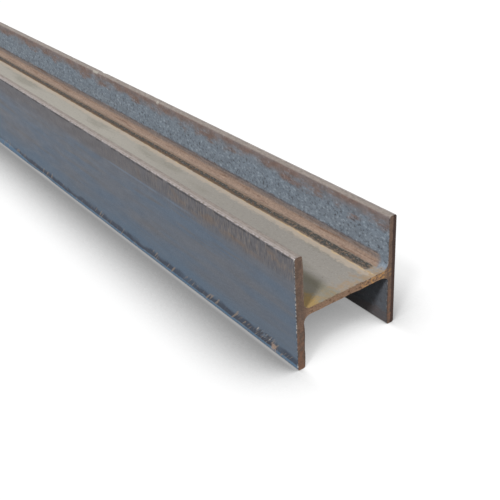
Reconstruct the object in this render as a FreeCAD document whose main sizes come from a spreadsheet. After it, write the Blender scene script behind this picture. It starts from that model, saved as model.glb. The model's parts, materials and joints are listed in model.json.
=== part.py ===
"""Hot-rolled wide-flange steel H-beam, 125 x 125 x 6.5 x 9, sawn to a stock length of 2 m.

All sizes are in millimetres. The beam lies as it rests unheld on a floor: X runs along its
length, Y across the depth of its section, and Z up along the flange width. The two flanges
stand upright and the web lies level between them. The origin is on the floor, under the
middle of the beam.
"""
import FreeCAD, Part
import os
import Sketcher

# Alias, value and meaning of each size that can be set by itself.
DRIVING_DIMENSIONS = [
    ("beam_length", 2000.0, "sawn stock length"),
    ("section_depth", 125.0, "over the outer faces of the two flanges"),
    ("flange_width", 125.0, "from tip to tip of one flange"),
    ("web_thickness", 6.5, "between the two faces of the web"),
    ("flange_thickness", 9.0, "of each flange"),
    ("root_radius", 8.0, "rolled fillet between web and flange"),
    ("toe_radius", 2.5, "rolled rounding along the flange tips"),
]

POSITION_TOLERANCE = 0.001

# How Sketcher numbers the two ends of a line, its origin and its vertical axis.
START = 1
END = 2
HORIZONTAL_AXIS = -1
VERTICAL_AXIS = -2


def write_sheet(doc):
    """Put the driving dimensions in a spreadsheet, one to a row, and return the sheet."""
    sheet = doc.addObject("Spreadsheet::Sheet", "Dimensions")
    for row, (alias, value, meaning) in enumerate(DRIVING_DIMENSIONS, start=1):
        sheet.set(f"A{row}", alias)
        sheet.set(f"B{row}", str(value))
        sheet.set(f"C{row}", meaning)
        sheet.setAlias(f"B{row}", alias)
    doc.recompute()
    return sheet


def origin_plane(body, role):
    """Return the body's own origin plane that has this role."""
    return next(plane for plane in body.Origin.OriginFeatures if plane.Role == role)


def draw_outline(sketch, sheet):
    """Add the twelve straight sides of the H, joined end to end, and return their names.

    The sides start at the lower tip of the left flange and go round anticlockwise. Level
    and upright sides take turns.
    """
    outer = sheet.section_depth / 2
    inner = outer - sheet.flange_thickness
    tip = sheet.flange_width
    web_low = (tip - sheet.web_thickness) / 2
    web_high = web_low + sheet.web_thickness
    corners = {
        "left_low_tip": (-outer, 0),
        "left_low_leg": (-inner, 0),
        "web_underside": (-inner, web_low),
        "right_low_leg": (inner, web_low),
        "right_low_tip": (inner, 0),
        "right_outer_face": (outer, 0),
        "right_high_tip": (outer, tip),
        "right_high_leg": (inner, tip),
        "web_top": (inner, web_high),
        "left_high_leg": (-inner, web_high),
        "left_high_tip": (-inner, tip),
        "left_outer_face": (-outer, tip),
    }
    side = {name: number for number, name in enumerate(corners)}
    points = [FreeCAD.Vector(across, up, 0) for across, up in corners.values()]
    for start, end in zip(points, points[1:] + points[:1]):
        sketch.addGeometry(Part.LineSegment(start, end), False)
    for number in side.values():
        following = (number + 1) % len(points)
        direction = "Vertical" if number % 2 else "Horizontal"
        sketch.addConstraint(Sketcher.Constraint("Coincident", number, END, following, START))
        sketch.addConstraint(Sketcher.Constraint(direction, number))
    return side


def constrain_outline(sketch, side):
    """Stand the H on the floor, make it symmetric, and bind its four sizes to the sheet."""
    low_tip = side["left_low_tip"]
    right_face = side["right_outer_face"]
    shape_rules = [
        ("PointOnObject", low_tip, START, HORIZONTAL_AXIS),
        ("Symmetric", low_tip, START, right_face, START, VERTICAL_AXIS),
        ("Horizontal", side["left_outer_face"], START, right_face, END),
        ("Equal", low_tip, side["right_low_tip"]),
        ("Equal", low_tip, side["right_high_tip"]),
        ("Equal", low_tip, side["left_high_tip"]),
        ("Equal", side["left_low_leg"], side["left_high_leg"]),
    ]
    for rule in shape_rules:
        sketch.addConstraint(Sketcher.Constraint(*rule))
    sizes = [
        ("section_depth", "DistanceX", low_tip, START, right_face, START),
        ("flange_width", "DistanceY", right_face, START, right_face, END),
        ("flange_thickness", "DistanceX", low_tip, START, low_tip, END),
        ("web_thickness", "DistanceY", side["web_underside"], END, side["web_top"], START),
    ]
    for alias, *geometry in sizes:
        drawn_size = dict((name, value) for name, value, _ in DRIVING_DIMENSIONS)[alias]
        number = sketch.addConstraint(Sketcher.Constraint(*geometry, drawn_size))
        sketch.renameConstraint(number, alias)
        sketch.setExpression(f"Constraints.{alias}", f"Dimensions.{alias}")


def lengthwise_edges(shape, is_wanted):
    """Name the edges that run the whole length and lie at a wanted place on the section."""
    names = []
    for number, edge in enumerate(shape.Edges, start=1):
        box = edge.BoundBox
        is_lengthwise = abs(box.XLength - shape.BoundBox.XLength) < POSITION_TOLERANCE
        if is_lengthwise and is_wanted(box.Center.y, box.Center.z):
            names.append(f"Edge{number}")
    return names


def round_edges(body, base, label, radius_alias, is_wanted):
    """Fillet the wanted lengthwise edges of a feature with a radius from the sheet."""
    fillet = body.newObject("PartDesign::Fillet", label)
    fillet.Base = (base, lengthwise_edges(base.Shape, is_wanted))
    fillet.setExpression("Radius", f"Dimensions.{radius_alias}")
    body.Document.recompute()
    return fillet


def make_beam(doc, sheet):
    """Build the beam as one body: a padded H section, then its root and toe roundings."""
    body = doc.addObject("PartDesign::Body", "Beam")
    body.Label = "h_beam"

    section = body.newObject("Sketcher::SketchObject", "Section")
    section.AttachmentSupport = (origin_plane(body, "YZ_Plane"), [""])
    section.MapMode = "FlatFace"
    constrain_outline(section, draw_outline(section, sheet))

    bar = body.newObject("PartDesign::Pad", "RolledBar")
    bar.Profile = section
    bar.SideType = "Symmetric"
    bar.setExpression("Length", "Dimensions.beam_length")
    doc.recompute()

    def is_root(across, up):
        """Tell whether an edge lies where the web meets a flange."""
        return abs(up - sheet.flange_width / 2) < sheet.web_thickness

    def is_toe(across, up):
        """Tell whether an edge lies on a flange tip."""
        return abs(up - sheet.flange_width / 2) > sheet.flange_width / 2 - POSITION_TOLERANCE

    rooted = round_edges(body, bar, "RootFillets", "root_radius", is_root)
    body.Tip = round_edges(body, rooted, "ToeRoundings", "toe_radius", is_toe)
    body.Placement = FreeCAD.Placement()
    doc.recompute()
    return body


def check_document(doc, bodies):
    """Stop if a feature failed, or if a body isn't one valid solid."""
    for feature in doc.Objects:
        failed = {"Invalid", "Error"} & set(feature.State)
        if failed:
            raise RuntimeError(f"{feature.Label} failed to recompute: {failed}")
    for body in bodies:
        shape = body.Shape
        if shape.isNull() or not shape.isValid() or len(shape.Solids) != 1:
            raise RuntimeError(f"{body.Label} is not one valid solid")


def main():
    """Build the beam, check it and write it to parts/h_beam.step."""
    doc = FreeCAD.newDocument("SteelHBeam")
    sheet = write_sheet(doc)
    beam = make_beam(doc, sheet)
    check_document(doc, [beam])
    os.makedirs("parts", exist_ok=True)
    beam.Shape.exportStep(f"parts/{beam.Label}.step")
    print(f"{beam.Label}: {beam.Shape.Volume / 1e3:.1f} cm3")


main()
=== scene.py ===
"""The looks of a hot-rolled steel H-beam that has been sawn to length and stored outdoors."""
import json
import logging
import math
from dataclasses import dataclass, field
from enum import Enum
from typing import Any

import bpy
import numpy as np
from mathutils import Matrix, Vector, geometry, noise


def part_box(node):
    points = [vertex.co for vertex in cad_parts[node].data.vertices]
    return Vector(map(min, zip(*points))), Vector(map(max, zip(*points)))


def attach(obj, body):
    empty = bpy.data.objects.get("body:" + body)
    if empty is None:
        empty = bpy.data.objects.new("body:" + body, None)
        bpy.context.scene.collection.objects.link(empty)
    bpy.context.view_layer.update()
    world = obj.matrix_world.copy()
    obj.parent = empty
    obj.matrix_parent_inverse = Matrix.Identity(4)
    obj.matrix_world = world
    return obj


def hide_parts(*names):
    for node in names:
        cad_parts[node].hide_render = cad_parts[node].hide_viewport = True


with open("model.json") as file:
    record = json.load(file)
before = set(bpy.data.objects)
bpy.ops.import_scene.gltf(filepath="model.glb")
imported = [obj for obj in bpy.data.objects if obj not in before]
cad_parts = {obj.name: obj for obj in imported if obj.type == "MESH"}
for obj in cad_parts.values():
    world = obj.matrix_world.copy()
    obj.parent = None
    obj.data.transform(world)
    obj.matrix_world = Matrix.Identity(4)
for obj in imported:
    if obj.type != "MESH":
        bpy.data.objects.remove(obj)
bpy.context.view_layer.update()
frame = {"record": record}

MM = 0.001
BAKE_MAP = "OFBake"
log = logging.getLogger("h_beam")

# A field of patches rarely leaves this range, so shading runs across it.
FIELD_LOW, FIELD_HIGH = 0.36, 0.64


def linear(colour: str) -> tuple[float, float, float, float]:
    """Turn an sRGB hex colour to linear light.

    Args:
        colour: Six hex digits after a hash, such as "#6a7078".

    Returns:
        Linear red, green and blue, and an alpha of 1.
    """
    shares = [int(colour[place : place + 2], 16) / 255 for place in (1, 3, 5)]
    light = [c / 12.92 if c <= 0.04045 else ((c + 0.055) / 1.055) ** 2.4 for c in shares]
    return (*light, 1.0)


def add_node(
    tree: bpy.types.NodeTree, kind: str, inputs: dict[int | str, Any] | None = None, **settings: Any
) -> bpy.types.Node:
    """Add a shader node with its settings and links.

    Args:
        tree: The node tree it goes in.
        kind: Its type, without the leading "ShaderNode".
        inputs: For each input, by name or number, the socket that feeds it or its value.
        **settings: The node's own options.

    Returns:
        The new node.
    """
    node = tree.nodes.new(f"ShaderNode{kind}")
    for name, value in settings.items():
        setattr(node, name, value)
    for key, value in (inputs or {}).items():
        if isinstance(value, bpy.types.NodeSocket):
            tree.links.new(value, node.inputs[key])
        else:
            node.inputs[key].default_value = value
    return node


def ramp(
    tree: bpy.types.NodeTree, value: Any, start: float, full: float, low: float, high: float
) -> bpy.types.NodeSocket:
    """Turn a value to another by a soft ramp between two places.

    Args:
        tree: The node tree it goes in.
        value: The socket that it reads.
        start: Where the ramp starts. It may be more than full, for a falling ramp.
        full: Where the ramp ends.
        low: What it gives at its start.
        high: What it gives at its end.

    Returns:
        The socket with the result.
    """
    ranges = {"Value": value, "From Min": start, "From Max": full, "To Min": low, "To Max": high}
    return add_node(tree, "MapRange", ranges, interpolation_type="SMOOTHSTEP").outputs[0]


class Zone(Enum):
    """The two kinds of surface on the beam, in the order of its material slots."""

    ROLLED = 0
    SAWN = 1


@dataclass(frozen=True)
class HSection:
    """The beam's cross-section, in millimetres, with Y across and Z up from the floor."""

    depth: float
    width: float
    web: float
    flange: float
    root_radius: float = 8.0
    toe_radius: float = 2.5

    @classmethod
    def from_frame(cls) -> "HSection":
        """Read the section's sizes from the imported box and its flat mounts."""
        low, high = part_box("h_beam")
        places = {mount["name"]: mount["pos_m"] for mount in frame["record"]["mounts"]}
        tip_middle = places["rest_tip_plus_y"][1]
        return cls(
            depth=(high[1] - low[1]) / MM,
            width=(high[2] - low[2]) / MM,
            web=(places["web_face_up"][2] - places["web_face_down"][2]) / MM,
            flange=2 * (high[1] - tip_middle) / MM,
        )

    @property
    def inner(self) -> float:
        """Distance from the middle of the section to a flange's inner face."""
        return self.depth / 2 - self.flange

    @property
    def middle(self) -> float:
        """Height of the middle of the web."""
        return self.width / 2

    def corners(self) -> list[tuple[float, float, float]]:
        """List the twelve corners of the H anticlockwise, each as across, up and radius."""
        outer, inner, top = self.depth / 2, self.inner, self.width
        low, high = self.middle - self.web / 2, self.middle + self.web / 2
        toe, root = self.toe_radius, self.root_radius
        right = [(inner, low, root), (inner, 0, toe), (outer, 0, toe)]
        right += [(outer, top, toe), (inner, top, toe), (inner, high, root)]
        return right + [(-across, top - up, radius) for across, up, radius in right]

    def outline(self, spacing: float, arc_steps: int) -> np.ndarray:
        """Trace the rounded outline as points a set distance apart.

        Args:
            spacing: The longest step along a flat side.
            arc_steps: Steps in each rounded corner.

        Returns:
            An array of points, each across and up, anticlockwise.
        """
        corners = self.corners()
        count = len(corners)
        ends = [np.array(corner[:2]) for corner in corners]
        points: list[np.ndarray] = []
        for here in range(count):
            corner, radius = ends[here], corners[here][2]
            following, next_radius = ends[(here + 1) % count], corners[(here + 1) % count][2]
            inward = corner - ends[here - 1]
            inward = inward / np.linalg.norm(inward)
            run = following - corner
            length = float(np.linalg.norm(run))
            onward = run / length
            centre = corner + (onward - inward) * radius
            for turn in np.linspace(0, math.pi / 2, arc_steps + 1):
                points.append(centre + radius * (inward * math.sin(turn) - onward * math.cos(turn)))
            flat = length - radius - next_radius
            steps = math.ceil(flat / spacing)
            points += [corner + onward * (radius + flat * k / steps) for k in range(1, steps)]
        return np.array(points)

    def depth_inside(self, across: float, up: float) -> float:
        """Tell how far a point lies inside the outline; a point outside gets less than nothing."""
        reach, rise = abs(across), abs(up - self.middle)
        in_flange = min(reach - self.inner, self.depth / 2 - reach, self.middle - rise)
        in_web = min(self.web / 2 - rise, self.inner + self.flange / 2 - reach)
        from_flange = self.inner - reach
        from_web = rise - self.web / 2
        root = self.root_radius
        in_root = -1.0
        if from_flange < root and from_web < root and reach < self.inner + self.flange / 2:
            in_root = math.hypot(root - from_flange, root - from_web) - root
        return max(in_flange, in_web, in_root)


@dataclass(frozen=True)
class Dent:
    """A knock in one place: where it is, how far it reaches and how deep it goes, in mm.

    The place is the distance from the sawn end at +X, then across and up on the section.
    """

    from_end: float
    across: float
    up: float
    half_length: float
    reach: float
    depth: float

    def push(self, from_end: float, across: float, up: float) -> float:
        """Tell how far this dent pushes in a point of the surface."""
        along = (from_end - self.from_end) / self.half_length
        away = math.hypot(across - self.across, up - self.up) / self.reach
        return self.depth * math.exp(-(along**2) - away**2)


@dataclass
class RolledBeam:
    """The whole beam as one mesh: the rolled surfaces, and the sawn face at each end."""

    section: HSection
    name: str = "h_beam_steel"
    side_spacing: float = 5.0
    arc_steps: int = 5
    face_spacing: float = 0.85
    skin: float = 0.12  # room kept under the CAD faces for burrs and rolling waves
    wave_height: float = 0.06
    wave_length: float = 90.0
    lump_height: float = 0.06
    lump_length: float = 9.0
    toe_wear: float = 0.35
    burr_height: float = 0.12
    inner_burr: float = 0.75
    saw_pitch: float = 2.4
    saw_depth: float = 0.10
    dents: tuple[Dent, ...] = (
        Dent(612.0, 53.5, 125.0, 8.0, 3.2, 1.6),
        Dent(596.0, 61.0, 125.0, 5.0, 3.0, 1.2),
        Dent(432.0, 53.6, 125.0, 3.0, 2.4, 1.4),
        Dent(41.0, -62.5, 9.0, 9.0, 4.0, 0.7),
        Dent(58.0, -62.5, 16.0, 6.0, 3.0, 0.45),
        Dent(590.0, -62.5, 1.0, 26.0, 4.0, 1.0),
        Dent(1450.0, -62.0, 124.0, 7.0, 4.0, 1.8),
        Dent(1730.0, 62.0, 0.5, 12.0, 4.0, 1.5),
    )
    low: Vector = field(default_factory=lambda: Vector(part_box("h_beam")[0]))
    high: Vector = field(default_factory=lambda: Vector(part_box("h_beam")[1]))

    @property
    def length(self) -> float:
        """The beam's length in millimetres."""
        return (self.high.x - self.low.x) / MM

    def stations(self) -> np.ndarray:
        """List distances from the +X end in mm, close together at both ends and open between."""
        near = [0.0, 0.25, 0.7, 1.5, 2.6, 4.0]
        reach = 4.0
        for until, step in ((70.0, 2.2), (220.0, 3.6), (self.length / 2, 6.0)):
            steps = round((until - reach) / step)
            near += list(np.linspace(reach, until, steps + 1)[1:])
            reach = until
        return np.array(near[:-1] + [self.length - place for place in reversed(near)])

    def outward(self, outline: np.ndarray) -> np.ndarray:
        """Work out the unit normal of the section at each outline point."""
        tangent = np.roll(outline, -1, axis=0) - np.roll(outline, 1, axis=0)
        normal = np.stack([tangent[:, 1], -tangent[:, 0]], axis=1)
        return normal / np.linalg.norm(normal, axis=1, keepdims=True)

    def surface_shift(self, from_end: float, across: float, up: float) -> float:
        """Tell how far a point of the rolled surface moves in or out, in mm.

        Args:
            from_end: Distance from the +X end.
            across: Place on the section's Y.
            up: Height over the floor.

        Returns:
            The shift along the outward normal, never above nothing.
        """
        place = Vector((from_end, across, up))
        shift = -self.skin
        shift += self.wave_height * noise.noise(place / self.wave_length)
        shift += self.lump_height * noise.noise(place / self.lump_length)
        toe = self.section.middle - abs(up - self.section.middle)
        if toe < 3.0:
            knocks = noise.noise(Vector((from_end / 11.0, across / 6.0, up / 9.0 + 7.0)))
            shift -= self.toe_wear * max(0.0, knocks - 0.12) * (1 - toe / 3.0)
        shift -= sum(dent.push(from_end, across, up) for dent in self.dents)
        cut = min(from_end, self.length - from_end)
        if cut < 1.0:
            fin = noise.noise(Vector((across / 1.7, up / 2.1, from_end / 400.0)))
            shift += self.burr_height * (max(0.0, fin) * 1.6 - 0.5) * (1 - cut)
        shift = min(shift, 0.0)
        inside = abs(across) < self.section.depth / 2 - self.section.flange / 2
        if inside and toe > self.section.toe_radius and cut < 3.0:
            fin = noise.noise(Vector((across / 7.0, up / 7.0, from_end / 400.0)))
            shift += self.inner_burr * max(0.0, 0.55 + fin) * (1 - cut / 3.0) ** 2
        return shift

    def saw_relief(self, across: float, up: float, end: float) -> float:
        """Tell how far a point of a sawn face lies behind its end plane, in mm."""
        place = Vector((across / 5.0, up / 5.0, end * 3.0))
        wander = noise.noise(place) * 2.0
        stroke = math.sin((up * 0.94 + across * 0.34 + wander) * 2 * math.pi / self.saw_pitch)
        grain = noise.noise(Vector((across / 1.3, up / 1.3, end)))
        return self.skin + self.saw_depth * (1.0 + 0.6 * stroke + 0.5 * grain)

    def wall(self) -> tuple[list[tuple[float, float, float]], list[tuple[int, ...]], int]:
        """Loft the outline along the stations.

        Returns:
            The vertices in metres, the quads, and the number of points in one ring.
        """
        outline = self.section.outline(self.side_spacing, self.arc_steps)
        normals = self.outward(outline)
        stations = self.stations()
        ring = len(outline)
        vertices: list[tuple[float, float, float]] = []
        for from_end in stations:
            set_back = self.skin if from_end == 0 else -self.skin if from_end == self.length else 0.0
            for (across, up), (out_y, out_z) in zip(outline, normals):
                shift = self.surface_shift(float(from_end), float(across), float(up))
                x = self.high.x - (from_end + set_back) * MM
                y = (across + out_y * shift) * MM
                z = self.low.z + max(up + out_z * shift, 0.0) * MM
                vertices.append((x, y, z))
        quads = []
        for row in range(len(stations) - 1):
            this, following = row * ring, (row + 1) * ring
            for k in range(ring):
                beyond = (k + 1) % ring
                quads.append((this + k, this + beyond, following + beyond, following + k))
        return vertices, [tuple(reversed(quad)) for quad in quads], ring

    def end_face(self, rim: list[tuple[float, float, float]], at_plus_x: bool) -> tuple[list, list]:
        """Fill one sawn end with a fine mesh that carries the saw's strokes.

        Args:
            rim: The vertices of the wall's last ring, in metres.
            at_plus_x: True for the end at +X.

        Returns:
            New inner vertices in metres, and triangles that count the rim first.
        """
        section, step = self.section, self.face_spacing
        flat = [Vector((y / MM, z / MM)) for _, y, z in rim]
        inner: list[Vector] = []
        row = 0
        for up in np.arange(step / 2, section.width, step * 0.87):
            offset = step / 2 if row % 2 else 0.0
            row += 1
            for across in np.arange(-section.depth / 2 + offset, section.depth / 2, step):
                if section.depth_inside(across, up) > step * 0.7 + self.skin:
                    inner.append(Vector((across, up)))
        edges = [(k, (k + 1) % len(flat)) for k in range(len(flat))]
        points, _, faces, *_ = geometry.delaunay_2d_cdt(flat + inner, edges, [], 1, 1e-5)
        if len(points) != len(flat) + len(inner):
            raise RuntimeError("the sawn face's mesh gained or lost a point")
        plane, sign = (self.high.x, -1.0) if at_plus_x else (self.low.x, 1.0)
        end = 0.0 if at_plus_x else 1.0
        vertices = [
            (plane + sign * self.saw_relief(point.x, point.y, end) * MM, point.x * MM, point.y * MM)
            for point in inner
        ]
        triangles = [tuple(face) if at_plus_x else tuple(reversed(face)) for face in faces]
        return vertices, triangles

    def build(self) -> bpy.types.Object:
        """Build the beam's mesh with its slots of faces, its bake map and its smoothing."""
        vertices, faces, ring = self.wall()
        wall_faces = len(faces)
        rims = (list(range(ring)), list(range(len(vertices) - ring, len(vertices))))
        for rim, at_plus_x in zip(rims, (True, False)):
            start = len(vertices)
            inner, triangles = self.end_face([vertices[index] for index in rim], at_plus_x)
            numbers = rim + list(range(start, start + len(inner)))
            vertices += inner
            faces += [tuple(numbers[corner] for corner in triangle) for triangle in triangles]
        mesh = bpy.data.meshes.new(self.name)
        mesh.from_pydata(vertices, [], faces)
        zones = np.full(len(faces), Zone.SAWN.value, dtype=np.int32)
        zones[:wall_faces] = Zone.ROLLED.value
        mesh.polygons.foreach_set("material_index", zones)
        mesh.polygons.foreach_set("use_smooth", np.ones(len(faces), dtype=bool))
        mesh.set_sharp_from_angle(angle=math.radians(38))
        mesh.validate()
        beam = bpy.data.objects.new(self.name, mesh)
        bpy.context.scene.collection.objects.link(beam)
        self.unroll(mesh, ring, wall_faces)
        return beam

    def unroll(self, mesh: bpy.types.Mesh, ring: int, wall_faces: int) -> None:
        """Lay the skin out flat: each half's length as a strip, and the sawn faces above them.

        Args:
            mesh: The beam's mesh.
            ring: Points in one ring of the wall.
            wall_faces: How many of the faces, counted first, are wall.
        """
        outline = self.section.outline(self.side_spacing, self.arc_steps)
        steps = np.linalg.norm(np.roll(outline, -1, axis=0) - outline, axis=1)
        girth = np.concatenate([[0.0], np.cumsum(steps)]) / steps.sum()
        strip, gap, margin = 0.41, 0.01, 0.004
        stations = self.stations() / self.length
        uv = mesh.uv_layers.new(name=BAKE_MAP)
        places = np.zeros((len(mesh.loops), 2))
        for face in mesh.polygons[:wall_faces]:
            row, k = divmod(face.index, ring)
            half = 0 if stations[row + 1] <= 0.5 + 1e-9 else 1
            for loop in face.loop_indices:
                vertex = mesh.loops[loop].vertex_index
                along = stations[vertex // ring] * 2 - half
                around = girth[k] if vertex % ring == k else girth[k + 1]
                base = margin + half * (strip + gap)
                places[loop] = (margin + along * (1 - 2 * margin), base + around * strip)
        corner, size = 2 * (strip + gap) + margin, 1 - 2 * (strip + gap) - 2 * margin
        for face in mesh.polygons[wall_faces:]:
            for loop in face.loop_indices:
                at = mesh.vertices[mesh.loops[loop].vertex_index].co
                side = 0.0 if at.x > 0 else 0.5
                across = (at.y / MM + self.section.depth / 2) / self.section.depth
                up = at.z / MM / self.section.width
                places[loop] = (margin + side + across * 0.4, corner + up * size)
        uv.uv.foreach_set("vector", places.astype(np.float32).ravel())


@dataclass
class Surface:
    """A material in the making: its tree, the colour so far, and places on the beam in mm."""

    name: str
    section: HSection
    end_x: float

    def __post_init__(self) -> None:
        """Start the tree with the beam's own coordinates."""
        self.material = bpy.data.materials.new(self.name)
        self.material.use_nodes = True
        self.tree = self.material.node_tree
        self.shader = self.tree.nodes["Principled BSDF"]
        own = add_node(self.tree, "TexCoord").outputs["Object"]
        scaled = add_node(self.tree, "VectorMath", {0: own, "Scale": 1 / MM}, operation="SCALE")
        self.place = scaled.outputs[0]
        split = add_node(self.tree, "SeparateXYZ", {0: self.place}).outputs
        self.across, self.up = split["Y"], split["Z"]
        self.from_end = self.calc("SUBTRACT", self.end_x / MM, split["X"])
        self.reach = self.calc("ABSOLUTE", self.across)
        self.rise = self.calc("ABSOLUTE", self.calc("SUBTRACT", self.up, self.section.middle))
        # Distances from the corner between web and flange, along the web and up the flange.
        self.from_flange = self.calc("SUBTRACT", self.section.inner, self.reach)
        self.from_web = self.calc("SUBTRACT", self.rise, self.section.web / 2)
        self.colour: Any = (0.0, 0.0, 0.0, 1.0)

    def calc(self, operation: str, *values: Any) -> bpy.types.NodeSocket:
        """Work out a chain of sums or products, each value joined to the result so far."""
        if len(values) == 1:
            return add_node(self.tree, "Math", {0: values[0]}, operation=operation).outputs[0]
        result = values[0]
        for value in values[1:]:
            result = add_node(self.tree, "Math", {0: result, 1: value}, operation=operation).outputs[0]
        return result

    def patches(
        self, size: tuple[float, float, float], detail: float = 2.0, shift: float = 0.0, harsh: float = 0.5
    ) -> bpy.types.NodeSocket:
        """Make a field of soft patches of a real size.

        Args:
            size: The patches' length, width and height in mm.
            detail: How many finer layers they have.
            shift: Moves the field, so that two fields of one size differ.
            harsh: How strong the finer layers are.

        Returns:
            A value that wanders about one half.
        """
        scale = tuple(1 / part for part in size)
        moved = add_node(
            self.tree, "Mapping", {"Vector": self.place, "Location": (shift, shift, shift), "Scale": scale}
        )
        field_inputs = {"Vector": moved.outputs[0], "Scale": 1.0, "Detail": detail, "Roughness": harsh}
        return add_node(self.tree, "TexNoise", field_inputs).outputs["Fac"]

    def mask(
        self, value: Any, start: float, full: float, ragged: Any = None, by: float = 0.0
    ) -> bpy.types.NodeSocket:
        """Make a mask that rises from nothing to full between two values.

        Args:
            value: What it reads, such as a distance in mm.
            start: Where it is nothing. It may be more than full, for a falling mask.
            full: Where it is full.
            ragged: A field of patches that makes its edge wander.
            by: How far the edge wanders, in the value's own unit.

        Returns:
            A value from 0 to 1.
        """
        if ragged is not None:
            off = self.calc("MULTIPLY", self.calc("SUBTRACT", ragged, 0.5), 2 * by)
            value = self.calc("ADD", value, off)
        return ramp(self.tree, value, start, full, 0.0, 1.0)

    def streaks(
        self, across: Any, width: float, along: Any, length: float, shift: float
    ) -> bpy.types.NodeSocket:
        """Make a field of long thin streaks.

        Args:
            across: What is measured across the streaks, in mm.
            width: About one streak's width, in mm.
            along: What is measured along them, in mm.
            length: About one streak's length, in mm.
            shift: Moves the field, so that two fields differ.

        Returns:
            A value that wanders about one half.
        """
        parts = {
            0: self.calc("DIVIDE", across, width),
            1: self.calc("DIVIDE", along, length),
            2: self.calc("DIVIDE", self.across, 60.0),
        }
        moved = add_node(self.tree, "VectorMath", {0: add_node(self.tree, "CombineXYZ", parts).outputs[0]})
        moved.inputs[1].default_value = (shift, shift, shift)
        field_inputs = {"Vector": moved.outputs[0], "Scale": 1.0, "Detail": 2.0, "Roughness": 0.6}
        return add_node(self.tree, "TexNoise", field_inputs).outputs["Fac"]

    def band(
        self, value: Any, low: float, high: float, soft: float, ragged: Any = None, by: float = 0.0
    ) -> bpy.types.NodeSocket:
        """Make a mask that is full between two values and fades over a soft edge outside them."""
        rising = self.mask(value, low - soft, low, ragged, by)
        return self.calc("MULTIPLY", rising, self.mask(value, high + soft, high, ragged, by))

    def lay(self, colour: Any, *masks: Any) -> None:
        """Lay a colour over what is there, where all of the masks are full."""
        share = self.calc("MULTIPLY", 1.0, *masks)
        over = linear(colour) if isinstance(colour, str) else colour
        mixed = add_node(self.tree, "Mix", {0: share, 6: self.colour, 7: over}, data_type="RGBA")
        self.colour = mixed.outputs[2]

    def shade(self, value: Any, low: float, high: float, *masks: Any) -> None:
        """Darken and lighten what is there by a field of patches, within the masks."""
        ranges = {"Value": value, "From Min": FIELD_LOW, "From Max": FIELD_HIGH}
        ranges |= {"To Min": low, "To Max": high}
        factor = add_node(self.tree, "MapRange", ranges).outputs[0]
        shaded = add_node(self.tree, "VectorMath", {0: self.colour, "Scale": factor}, operation="SCALE")
        self.lay(shaded.outputs[0], *masks)


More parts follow.
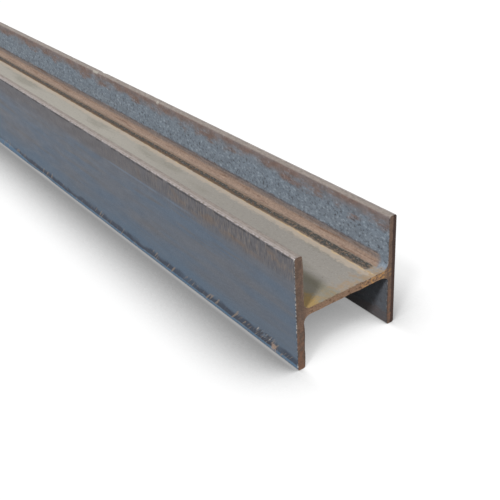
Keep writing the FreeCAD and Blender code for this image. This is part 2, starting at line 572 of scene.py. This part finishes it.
@dataclass(frozen=True)
class MillScale:
    """Hot-rolled mill scale, roughened and lightly rusted by weather.

    It is a thin dark iron oxide over steel: blue-grey and dull, pitted inside the channel, with
    brown rust where water stands and pale dust where it lies level.
    """

    blue: str = "#6b7888"
    slate: str = "#747982"
    warm_grey: str = "#777474"
    band_grey: str = "#716e70"
    inside_blue: str = "#8c98a4"
    inside_light: str = "#b3c0cc"
    inside_dark: str = "#4d4f54"
    painted_shade_under_web: str = "#5c5c60"
    # painted shade under the web
    rust: str = "#8b6c5d"
    rust_haze: str = "#8a7a74"
    deep_rust: str = "#695b56"
    dust: str = "#a39e97"
    pale_dust: str = "#bab5ab"
    olive_dust: str = "#8f8b7f"
    tan: str = "#a08a7b"
    mauve: str = "#8d837f"
    cream: str = "#cabbaa"
    gold: str = "#dcc093"
    flaked: str = "#4f4e4b"
    yellow_dust: str = "#b8995f"
    tip: str = "#9b918a"
    tip_dark: str = "#6f6865"
    steel_blue: str = "#6b86a0"
    scuff: str = "#42434d"
    scratch: str = "#a8988a"
    # bare metal of scrapes and burrs; on the burr lips it is partly painted highlight
    bare_metal_and_highlight: str = "#e2ded6"
    ruled_light: str = "#958980"
    ruled_dark: str = "#4a4849"
    tanned: str = "#8a7767"
    low_rust: str = "#78716c"
    low_blue: str = "#6a7f94"
    # painted highlight line on the outer band
    painted_band_highlight: str = "#8091a4"
    chipped: str = "#454344"
    rim_glint: str = "#8796a4"
    scrape_dark: str = "#4c494c"
    scrape_light: str = "#a5968b"
    scrape_spot: str = "#bda391"
    root_dark: str = "#7a5f4d"
    root_light: str = "#b8a08c"
    grit_dark: str = "#7c786f"
    grit_light: str = "#c8c2b6"
    stripe_edge: str = "#7d6a5a"
    far_stripe_edge: str = "#6a5647"
    flake_light: str = "#94928e"
    stripe_fade: str = "#a08876"
    bloom: str = "#b09474"
    # olive painted shade on the web beside the near flange
    painted_web_shade: str = "#8b8568"
    lip_dark: str = "#3f3c3d"
    lip_light: str = "#b5a79e"
    # painted highlight on the near tip's outer edge
    near_tip_highlight: str = "#c6bfc2"
    tip_line: str = "#bdb4b4"
    curl: str = "#b4aea4"
    rough_low: float = 0.50
    rough_high: float = 0.72
    specular: float = 0.22

    def ground(self, s: Surface) -> None:
        """Lay the plain scale: blue and slate clouds drawn out along the rolling direction."""
        s.colour = linear(self.blue)
        clouds = s.patches((190.0, 40.0, 30.0), 3.0)
        s.lay(self.slate, s.mask(clouds, 0.38, 0.62))
        drawn = s.patches((220.0, 16.0, 9.0), 3.0, 31.0)
        s.lay(self.warm_grey, s.mask(drawn, 0.50, 0.72), 0.45)
        fine = s.patches((5.0, 2.4, 2.0), 2.0, 9.0, 0.6)
        s.shade(fine, 0.93, 1.07)

    def outer_bands(self, s: Surface) -> None:
        """Colour the outer faces: a brown-grey band by the upper tip, streaked across."""
        outer = s.mask(s.reach, s.section.inner + 5.0, s.section.inner + 7.0)
        wander = s.patches((80.0, 40.0, 10.0), 3.0, 5.0)
        band = s.mask(s.up, 92.0, 110.0, wander, 5.0)
        s.lay(self.band_grey, outer, band, 0.85)
        # Ruled marks 2 mm apart across the flange, left by the straightening rolls.
        ruled = s.streaks(s.from_end, 1.9, s.up, 13.0, 41.0)
        near_cut = s.mask(s.from_end, 420.0, 60.0)
        strength = s.calc("ADD", s.calc("MULTIPLY", near_cut, 0.75), 0.25)
        s.lay(self.ruled_light, outer, band, s.mask(ruled, 0.50, 0.64), strength, 0.55)
        s.lay(self.ruled_dark, outer, band, s.mask(ruled, 0.48, 0.34), strength, 0.55)
        tanned = s.patches((34.0, 20.0, 16.0), 3.0, 35.0, 0.6)
        s.lay(self.tanned, outer, band, s.mask(tanned, 0.50, 0.66), near_cut, 0.55)
        low_rust = s.patches((90.0, 30.0, 9.0), 3.0, 77.0)
        s.lay(self.low_rust, outer, s.band(s.up, 74.0, 90.0, 8.0), s.mask(low_rust, 0.50, 0.70), 0.5)
        s.lay(self.low_blue, outer, s.mask(s.up, 46.0, 14.0, wander, 14.0), 0.55)
        # Painted highlight: a thin pale blue line along the band, 210 to 420 mm from the cut.
        line = s.calc("MULTIPLY", s.band(s.up, 100.2, 101.6, 1.4), s.band(s.from_end, 210.0, 420.0, 70.0))
        s.lay(self.painted_band_highlight, outer, line, s.mask(wander, 0.40, 0.56), 0.45)
        chips = s.patches((11.0, 8.0, 4.0), 3.0, 15.0, 0.6)
        s.lay(self.chipped, outer, s.band(s.up, 121.4, 123.2, 1.0), s.mask(chips, 0.40, 0.54), 0.75)

    def toe_scuffs(self, s: Surface) -> None:
        """Scuff the outer faces along the lower toe, where the beam has been dragged."""
        outer = s.mask(s.reach, s.section.inner + 5.0, s.section.inner + 7.0)
        lumps = s.patches((30.0, 20.0, 14.0), 3.0, 13.0)
        there = s.mask(s.patches((80.0, 60.0, 60.0), 2.0, 3.3), 0.38, 0.54)
        scuffed = s.calc("MULTIPLY", s.band(s.up, 6.0, 10.5, 5.5, lumps, 8.0), there)
        s.lay(self.scuff, outer, scuffed, 0.72)
        wide_rim = s.calc("MULTIPLY", s.mask(s.from_end, 620.0, 720.0), 5.5)
        rim_height = s.calc("SUBTRACT", s.up, wide_rim)
        s.lay(self.steel_blue, outer, s.mask(rim_height, 6.0, 4.8, lumps, 1.6))
        bright = s.patches((16.0, 9.0, 9.0), 2.0, 23.0)
        s.lay(self.rim_glint, outer, s.band(rim_height, 5.0, 5.6, 0.7), s.mask(bright, 0.46, 0.60), 0.8)
        # Slanting scratches, 1 to 2 mm wide and up to 20 mm tall.
        slant = s.calc("ADD", s.from_end, s.up)
        cuts = s.streaks(slant, 4.0, s.up, 34.0, 71.0)
        tall = s.patches((16.0, 20.0, 60.0), 2.0, 59.0)
        scratched = s.band(s.up, 5.0, 13.0, 3.0, tall, 10.0)
        s.lay(self.scratch, outer, scratched, s.mask(cuts, 0.58, 0.66), 0.7)
        near = s.mask(s.across, 0.0, -10.0)
        scrape = s.calc("MULTIPLY", near, s.band(s.from_end, 38.0, 60.0, 9.0), s.band(s.up, 7.0, 15.0, 5.0))
        scraped = s.streaks(slant, 2.6, s.up, 9.0, 87.0)
        s.lay(self.scrape_dark, scrape, s.mask(scraped, 0.52, 0.42), 0.75)
        s.lay(self.scrape_light, scrape, s.mask(scraped, 0.54, 0.62), 0.85)
        s.lay(self.bare_metal_and_highlight, scrape, s.mask(scraped, 0.63, 0.69), 0.9)
        grit = s.patches((2.6, 2.4, 2.4), 3.0, 87.0, 0.65)
        spot = s.calc("MULTIPLY", near, s.band(s.from_end, 35.0, 40.0, 3.5), s.band(s.up, 4.0, 9.0, 3.0))
        s.lay(self.scrape_spot, spot, s.mask(grit, 0.40, 0.52), 0.85)

    def inside(self, s: Surface) -> None:
        """Pit the inner faces of the flanges: light flecks and dark pits 2 to 3 mm across."""
        inner = s.mask(s.reach, s.section.inner + 3.5, s.section.inner + 0.5)
        upper = s.mask(s.up, s.section.middle - 1.0, s.section.middle + 1.0)
        s.lay(self.inside_blue, inner, 0.8)
        lobes = s.patches((26.0, 24.0, 10.0), 4.0, 61.0, 0.6)
        s.lay(self.rust_haze, inner, s.mask(s.rise, 42.0, 56.0, lobes, 16.0), 0.85)
        s.lay(self.rust, inner, s.mask(s.rise, 45.0, 58.0, lobes, 34.0), s.mask(lobes, 0.40, 0.66), 0.5)
        pits = s.patches((4.0, 3.4, 3.2), 3.0, 3.0, 0.65)
        low = s.calc("SUBTRACT", 1.0, s.calc("MULTIPLY", s.mask(s.rise, 34.0, 60.0), 0.7))
        s.lay(self.inside_light, inner, s.mask(pits, 0.55, 0.68), low, 0.75)
        s.lay(self.inside_dark, inner, s.mask(pits, 0.46, 0.33), low, 0.75)
        blots = s.patches((13.0, 9.0, 9.0), 3.0, 17.0, 0.6)
        s.shade(blots, 0.88, 1.12, inner)
        # Painted shade: darker grey over the lower inside of the channel, under the web, where shade falls.
        lower = s.calc("SUBTRACT", 1.0, upper)
        s.lay(self.painted_shade_under_web, s.mask(s.reach, s.section.depth / 2 - 2.5, s.section.inner), lower, 0.75)

    def root_band(self, s: Surface) -> None:
        """Lay the pink-tan band that the rollers leave in the root, with a brown upper edge."""
        streaks = s.patches((46.0, 2.6, 2.6), 4.0, 19.0, 0.6)
        ragged = s.patches((9.0, 4.0, 4.0), 3.0, 29.0, 0.6)
        band = s.calc(
            "MULTIPLY",
            s.mask(s.from_flange, 8.0, 5.6, ragged, 1.2),
            s.mask(s.from_web, 14.8, 13.0, ragged, 2.0),
            s.mask(s.reach, s.section.inner + 3.5, s.section.inner + 0.5),
            s.mask(s.from_end, 9.0, 17.0, ragged, 4.0),
            s.mask(s.up, s.section.middle - 1.0, s.section.middle + 1.0),
        )
        s.lay(self.deep_rust, band, 0.6)
        s.lay(self.mauve, band, s.mask(s.from_web, 12.6, 10.4, ragged, 1.6))
        s.lay(self.tan, band, s.mask(s.from_web, 8.5, 4.5, streaks, 5.0))
        s.lay(self.root_dark, band, s.mask(streaks, 0.46, 0.36), 0.55)
        s.lay(self.root_light, band, s.mask(streaks, 0.56, 0.66), 0.5)
        grit = s.patches((2.6, 2.2, 2.2), 2.0, 43.0, 0.65)
        s.shade(grit, 0.84, 1.14, band)

    def web_face(self, s: Surface) -> None:
        """Dust the web: pale grey-beige on top, with a cream edge and a dark flaked stripe."""
        upper = s.mask(s.up, s.section.middle - 1.0, s.section.middle + 1.0)
        web = s.calc("MULTIPLY", s.mask(s.from_web, 4.5, 2.5), s.mask(s.from_flange, 4.5, 7.0), upper)
        s.lay(self.dust, web)
        s.lay(self.pale_dust, web, s.mask(s.from_end, 120.0, 560.0))
        clouds = s.patches((120.0, 20.0, 20.0), 3.0, 83.0)
        s.lay(self.olive_dust, web, s.mask(clouds, 0.48, 0.66), 0.5)
        specks = s.patches((3.0, 2.2, 2.2), 3.0, 47.0, 0.65)
        s.lay(self.grit_dark, web, s.mask(specks, 0.57, 0.70), 0.40)
        s.lay(self.grit_light, web, s.mask(specks, 0.42, 0.32), 0.30)
        ragged = s.patches((7.0, 4.0, 4.0), 3.0, 53.0, 0.65)
        far_side = s.mask(s.across, 0.0, 10.0)
        edge = s.band(s.from_flange, 17.5, 22.0, 5.0, ragged, 7.0)
        s.lay(self.cream, web, far_side, edge, 0.8)
        broken = s.mask(s.patches((18.0, 6.0, 6.0), 3.0, 95.0, 0.6), 0.40, 0.54)
        s.lay(self.gold, web, far_side, s.band(s.from_flange, 16.4, 18.2, 1.0, ragged, 1.6), broken, 0.7)
        farther = s.mask(s.from_end, 110.0, 200.0)
        border = s.band(s.from_flange, 5.0, 15.6, 1.4, ragged, 2.0)
        short_of_cut = s.mask(s.from_end, 13.0, 17.0, ragged, 3.0)
        s.lay(self.stripe_edge, web, far_side, border, short_of_cut, 0.85)
        farther_border = s.band(s.from_flange, 12.0, 17.2, 1.0, ragged, 1.4)
        s.lay(self.far_stripe_edge, web, far_side, farther_border, farther, 0.8)
        core = s.band(s.from_flange, 6.4, 13.6, 1.2, ragged, 4.6)
        flakes = s.patches((3.6, 2.6, 2.6), 3.0, 57.0, 0.65)
        s.lay(self.flaked, web, far_side, core, short_of_cut, s.mask(flakes, 0.40, 0.50))
        s.lay(self.flake_light, web, far_side, core, short_of_cut, s.mask(flakes, 0.57, 0.66), 0.6)
        fade = s.calc("MULTIPLY", farther, s.band(s.from_flange, 5.0, 8.0, 1.0, ragged, 1.0))
        s.lay(self.stripe_fade, web, far_side, fade, 0.7)

    def cut_end_bloom(self, s: Surface) -> None:
        """Bloom tan rust dust on the web beside the cut, paint olive shade on the web by the near flange,
        and leave bright burrs on its lips, partly painted highlights.
        """
        upper = s.mask(s.up, s.section.middle - 1.0, s.section.middle + 1.0)
        ragged = s.patches((7.0, 6.0, 6.0), 4.0, 91.0, 0.65)
        near_cut = s.mask(s.from_end, 22.0, 0.0, ragged, 26.0)
        web = s.calc("MULTIPLY", s.mask(s.from_web, 4.5, 2.5), s.mask(s.from_flange, 1.0, 6.0), upper)
        s.lay(self.bloom, near_cut, web, s.mask(ragged, 0.66, 0.40), 0.7)
        # Painted shade: an olive tint on the web beside the near flange, where its shadow falls.
        s.lay(self.painted_web_shade, web, s.mask(s.across, -4.0, -14.0), s.mask(s.from_end, 140.0, 30.0), 0.4)
        corner = s.mask(s.across, -26.0, -38.0, ragged, 12.0)
        s.lay(self.yellow_dust, s.mask(s.from_end, 30.0, 14.0, ragged, 12.0), web, corner, 0.85)
        lip = s.mask(s.from_end, 1.9, 0.8)
        beads = s.patches((4.0, 2.6, 3.0), 3.0, 97.0, 0.65)
        strewn = s.mask(s.patches((60.0, 30.0, 16.0), 2.0, 51.0), 0.38, 0.58)
        outer = s.mask(s.reach, s.section.inner + 5.0, s.section.inner + 7.0)
        s.lay(self.lip_dark, lip, s.mask(beads, 0.50, 0.42), 0.7)
        # Bright burr beads on the outer lips: bare metal, partly a painted highlight for the burrs' glints.
        s.lay(self.bare_metal_and_highlight, lip, outer, s.mask(beads, 0.50, 0.57), strewn, 0.9)
        s.lay(self.lip_light, lip, s.mask(beads, 0.55, 0.62), 0.7)

    def tips(self, s: Surface) -> None:
        """Finish the flange tips in pinkish grey, worn pale, with darker edges and knocks, and a painted
        highlight along the near tip's outer edge.
        """
        tip = s.mask(s.rise, s.section.middle - 2.2, s.section.middle - 0.9)
        s.lay(self.tip, tip)
        specks = s.patches((5.0, 2.0, 2.0), 3.0, 67.0, 0.65)
        s.shade(specks, 0.82, 1.14, tip)
        wander = s.patches((14.0, 6.0, 6.0), 3.0, 73.0, 0.6)
        outer_edge = s.mask(s.reach, s.section.depth / 2 - 1.7, s.section.depth / 2 - 0.7, wander, 0.8)
        near_side = s.mask(s.across, 0.0, -10.0)
        # Painted highlight: pale specks along the near tip's outer edge, on the side that faces the light.
        s.lay(self.near_tip_highlight, tip, near_side, outer_edge, s.mask(specks, 0.42, 0.56), 0.7)
        middle_line = s.band(s.reach, s.section.depth / 2 - 4.0, s.section.depth / 2 - 3.4, 0.5)
        far_side = s.mask(s.across, 0.0, 10.0)
        s.lay(self.tip_dark, tip, far_side, outer_edge, 0.65)
        s.lay(self.tip_dark, tip, far_side, middle_line, s.mask(wander, 0.40, 0.54), 0.55)
        light_line = s.band(s.reach, s.section.depth / 2 - 3.0, s.section.depth / 2 - 2.0, 0.6)
        s.lay(self.tip_line, tip, light_line, 0.4)
        top = s.mask(s.up, s.section.width - 4.4, s.section.width - 3.0)
        for from_end, half, across in ((611.5, 7.0, 54.4), (594.0, 2.0, 60.5), (432.0, 1.8, 54.2)):
            along = s.band(s.from_end, from_end - half, from_end + half, 1.5)
            beside = s.band(s.across, across - 1.4, across + 1.4, 0.8)
            s.lay(self.curl, top, along, beside, s.mask(specks, 0.28, 0.44))

    def build(self, section: HSection, end_x: float) -> bpy.types.Material:
        """Make the material from its layers, from the scale outwards.

        Args:
            section: The beam's section, which places the bands.
            end_x: Where the +X sawn end is, in metres.

        Returns:
            The finished material.
        """
        s = Surface("mill_scale", section, end_x)
        self.ground(s)
        self.outer_bands(s)
        self.inside(s)
        self.root_band(s)
        self.web_face(s)
        self.toe_scuffs(s)
        self.tips(s)
        self.cut_end_bloom(s)
        s.tree.links.new(s.colour, s.shader.inputs["Base Color"])
        polish = s.patches((20.0, 6.0, 6.0), 3.0, 37.0)
        ranges = {"Value": polish, "From Min": 0.3, "From Max": 0.7}
        ranges |= {"To Min": self.rough_low, "To Max": self.rough_high}
        rough = add_node(s.tree, "MapRange", ranges).outputs[0]
        s.tree.links.new(rough, s.shader.inputs["Roughness"])
        # The loose oxide and dust reflect about half as much as a clean glassy surface does.
        s.shader.inputs["Specular IOR Level"].default_value = self.specular
        pits = s.patches((3.4, 3.0, 2.8), 4.0, 3.0, 0.65)
        bump = add_node(s.tree, "Bump", {"Height": pits, "Distance": 0.6 * MM, "Strength": 0.7})
        s.tree.links.new(bump.outputs[0], s.shader.inputs["Normal"])
        return s.material


@dataclass(frozen=True)
class SawnSteel:
    """A bandsawn steel face under a thin coat of brown rust.

    The saw leaves fine slanting strokes, and the rust over them is dull, more orange on the web.
    """

    rust: str = "#917869"
    grey_rust: str = "#806c60"
    red_rust: str = "#98735f"
    orange: str = "#b5937a"
    bright_orange: str = "#e0ad74"
    dark: str = "#4f3e3a"
    pale_edge: str = "#a3978c"
    web_stain: str = "#775a45"
    # darker along the inner edges of the cut, below the web
    low_inner_edge_dark: str = "#50433f"
    # burr beads on the near rim, partly painted highlight
    rim_burr_and_highlight: str = "#cfc6ba"
    roughness: float = 0.68
    specular: float = 0.16

    def build(self, section: HSection, end_x: float) -> bpy.types.Material:
        """Make the material for both sawn ends.

        Args:
            section: The beam's section, which places the web and flanges.
            end_x: Where the +X sawn end is, in metres.

        Returns:
            The finished material.
        """
        s = Surface("sawn_steel", section, end_x)
        s.colour = linear(self.rust)
        clouds = s.patches((30.0, 7.0, 9.0), 4.0, 7.0, 0.6)
        s.lay(self.grey_rust, s.mask(clouds, 0.42, 0.60))
        s.lay(self.red_rust, s.mask(s.up, 60.0, 20.0, clouds, 20.0), s.mask(clouds, 0.58, 0.44), 0.8)
        on_web = s.mask(s.from_flange, -2.0, 9.0, clouds, 5.0)
        s.lay(self.orange, on_web, 0.9)
        spots = s.patches((8.0, 5.0, 3.0), 4.0, 27.0, 0.65)
        towards_far = s.band(s.across, 24.0, 50.0, 12.0)
        s.lay(self.bright_orange, s.mask(spots, 0.47, 0.57), towards_far, s.mask(s.rise, 6.0, 3.0), 0.95)
        s.lay(self.web_stain, on_web, s.mask(spots, 0.48, 0.38), 0.8)
        far_outer = s.mask(s.across, section.depth / 2 - 5.2, section.depth / 2 - 3.6, clouds, 1.6)
        s.lay(self.dark, far_outer, 0.9)
        inner_edge = s.band(s.reach, section.inner - 0.5, section.inner + 0.5, 0.7)
        # Darker along the flanges' inner edges on the cut, below the web.
        s.lay(self.low_inner_edge_dark, inner_edge, s.mask(s.up, section.middle - 8.0, section.middle - 14.0), 0.6)
        s.lay(self.pale_edge, inner_edge, s.mask(spots, 0.46, 0.60), s.mask(s.up, 74.0, 82.0), 0.55)
        beads = s.patches((4.0, 2.6, 3.0), 3.0, 97.0, 0.65)
        # Pale beads along the near flange's outer rim of the cut: burr metal, partly painted highlight.
        near_rim = s.mask(s.across, -section.depth / 2 + 1.3, -section.depth / 2 + 0.5)
        s.lay(self.rim_burr_and_highlight, near_rim, s.mask(beads, 0.52, 0.60), 0.7)
        grain = s.patches((1.8, 2.0, 1.6), 3.0, 11.0, 0.65)
        s.shade(grain, 0.72, 1.28)
        s.tree.links.new(s.colour, s.shader.inputs["Base Color"])
        s.shader.inputs["Roughness"].default_value = self.roughness
        s.shader.inputs["Specular IOR Level"].default_value = self.specular
        bump = add_node(s.tree, "Bump", {"Height": grain, "Distance": 0.4 * MM, "Strength": 0.6})
        s.tree.links.new(bump.outputs[0], s.shader.inputs["Normal"])
        return s.material


@dataclass(frozen=True)
class Studio:
    """A plain white floor under a pale sky, one soft key light and the camera."""

    end: Vector
    depth: float
    floor_size: float = 40.0
    floor_lit: float = 0.28
    floor_glow: float = 0.80
    floor_bounce: float = 0.14
    # The painted contact shadow on the floor: its reach, darkest value, and ramps outside and under the
    # beam.
    contact_reach: float = 0.11
    contact_dark: float = 0.24
    open_outside: tuple[float, float] = (0.46, 0.97)
    open_inside: tuple[float, float] = (0.0, 0.60)
    under_from: float = 4.0
    under_to: float = -10.0
    sky_light: float = 0.46
    key_light: float = 1.95
    key_softness: float = 9.5
    key_from: tuple[float, float, float] = (0.32, -0.59, 0.74)
    camera_offset: tuple[float, float, float] = (0.4874, -0.4410, 0.4987)
    camera_azimuth: float = 55.71
    camera_elevation: float = 30.41
    camera_roll: float = 3.85
    lens: float = 59.3

    def in_view(self, tree: bpy.types.NodeTree) -> bpy.types.NodeSocket:
        """Tell the rays that see the white background from those that only carry its light.

        Args:
            tree: The node tree it goes in.

        Returns:
            A socket of 1 for camera, glossy and transmission rays, and 0 for the others.
        """
        path = add_node(tree, "LightPath").outputs
        direct = {0: path["Is Camera Ray"], 1: path["Is Glossy Ray"]}
        seen = {0: add_node(tree, "Math", direct, operation="MAXIMUM").outputs[0]}
        seen[1] = path["Is Transmission Ray"]
        return add_node(tree, "Math", seen, operation="MAXIMUM").outputs[0]

    def build_floor(self) -> None:
        """Lay the floor: white to the eye by its own glow, with the beam's soft shadow painted into that
        glow from ambient occlusion, and dim as a reflector.
        """
        mesh = bpy.data.meshes.new("studio_floor")
        half = self.floor_size / 2
        corners = [(-half, -half, 0), (half, -half, 0), (half, half, 0), (-half, half, 0)]
        mesh.from_pydata(corners, [], [(0, 1, 2, 3)])
        floor = bpy.data.objects.new("studio_floor", mesh)
        bpy.context.scene.collection.objects.link(floor)
        material = bpy.data.materials.new("studio_floor")
        material.use_nodes = True
        tree = material.node_tree
        tree.nodes.clear()
        # Painted shadow: ambient occlusion near the beam darkens the floor's glow and colour.
        open_floor = add_node(tree, "AmbientOcclusion", {"Distance": self.contact_reach}, samples=16)
        spot = add_node(tree, "SeparateXYZ", {0: add_node(tree, "NewGeometry").outputs["Position"]})
        beside = add_node(tree, "Math", {0: spot.outputs["Y"]}, operation="ABSOLUTE").outputs[0]
        half = self.depth / 2
        outside = ramp(tree, open_floor.outputs["AO"], *self.open_outside, self.contact_dark, 1.0)
        inside = ramp(tree, open_floor.outputs["AO"], *self.open_inside, self.contact_dark, 1.0)
        under = ramp(tree, beside, half + self.under_from * MM, half + self.under_to * MM, 0.0, 1.0)
        contact = add_node(tree, "Mix", {0: under, 2: outside, 3: inside}).outputs[0]
        white = [add_node(tree, "Math", {0: contact, 1: share}, operation="MULTIPLY").outputs[0]
                 for share in (self.floor_lit, self.floor_glow)]
        lit = add_node(tree, "BsdfDiffuse", {"Color": white[0]})
        glow = add_node(tree, "Emission", {"Strength": white[1]})
        seen = add_node(tree, "AddShader", {0: lit.outputs[0], 1: glow.outputs[0]})
        felt = add_node(tree, "BsdfDiffuse", {"Color": (self.floor_bounce,) * 3 + (1.0,)})
        mixed = add_node(tree, "MixShader", {0: self.in_view(tree), 1: felt.outputs[0], 2: seen.outputs[0]})
        add_node(tree, "OutputMaterial", {"Surface": mixed.outputs[0]})
        mesh.materials.append(material)

    def build_sky(self) -> None:
        """Light the scene evenly from all round, with white behind it."""
        world = bpy.data.worlds.new("studio_sky")
        world.use_nodes = True
        bpy.context.scene.world = world
        tree = world.node_tree
        tree.nodes.clear()
        strength = {"Value": self.in_view(tree), "To Min": self.sky_light, "To Max": 1.0}
        power = add_node(tree, "MapRange", strength).outputs[0]
        sky = add_node(tree, "Background", {"Color": (1, 1, 1, 1), "Strength": power})
        add_node(tree, "OutputWorld", {"Surface": sky.outputs[0]})

    def build_key(self) -> None:
        """Hang one broad key light over the beam's end and in front of it."""
        lamp = bpy.data.lights.new("key", "SUN")
        lamp.energy = self.key_light
        lamp.angle = math.radians(self.key_softness)
        key = bpy.data.objects.new("key", lamp)
        key.rotation_euler = Vector(self.key_from).to_track_quat("Z", "Y").to_euler()
        bpy.context.scene.collection.objects.link(key)

    def build_camera(self) -> None:
        """Stand the camera off the sawn end, looking down along the beam."""
        azimuth, elevation = math.radians(self.camera_azimuth), math.radians(self.camera_elevation)
        level = math.cos(elevation)
        ahead = Vector((-math.sin(azimuth) * level, math.cos(azimuth) * level, -math.sin(elevation)))
        right = ahead.cross(Vector((0, 0, 1))).normalized()
        roll = Matrix.Rotation(math.radians(self.camera_roll), 3, ahead)
        right = roll @ right
        up = right.cross(ahead)
        turn = Matrix((right, up, -ahead)).transposed().to_4x4()
        camera = bpy.data.objects.new("camera", bpy.data.cameras.new("camera"))
        camera.data.lens = self.lens
        camera.data.clip_start = 0.01
        camera.matrix_world = Matrix.Translation(self.end + Vector(self.camera_offset)) @ turn
        bpy.context.scene.collection.objects.link(camera)
        bpy.context.scene.camera = camera

    def build(self) -> None:
        """Build the floor, the sky, the key light and the camera."""
        self.build_floor()
        self.build_sky()
        self.build_key()
        self.build_camera()
        bpy.context.scene.view_settings.view_transform = "Standard"


def main() -> None:
    """Build the beam and its studio."""
    logging.basicConfig(level=logging.INFO, format="%(name)s: %(message)s")
    section = HSection.from_frame()
    end_x = float(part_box("h_beam")[1][0])
    beam = RolledBeam(section).build()
    for finish in (MillScale(), SawnSteel()):
        beam.data.materials.append(finish.build(section, end_x))
    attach(beam, "root")
    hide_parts("h_beam")
    log.info("%s: %d faces", beam.name, len(beam.data.polygons))
    Studio(Vector((end_x, 0.0, 0.0)), section.depth * MM).build()


if __name__ == "__main__":
    main()
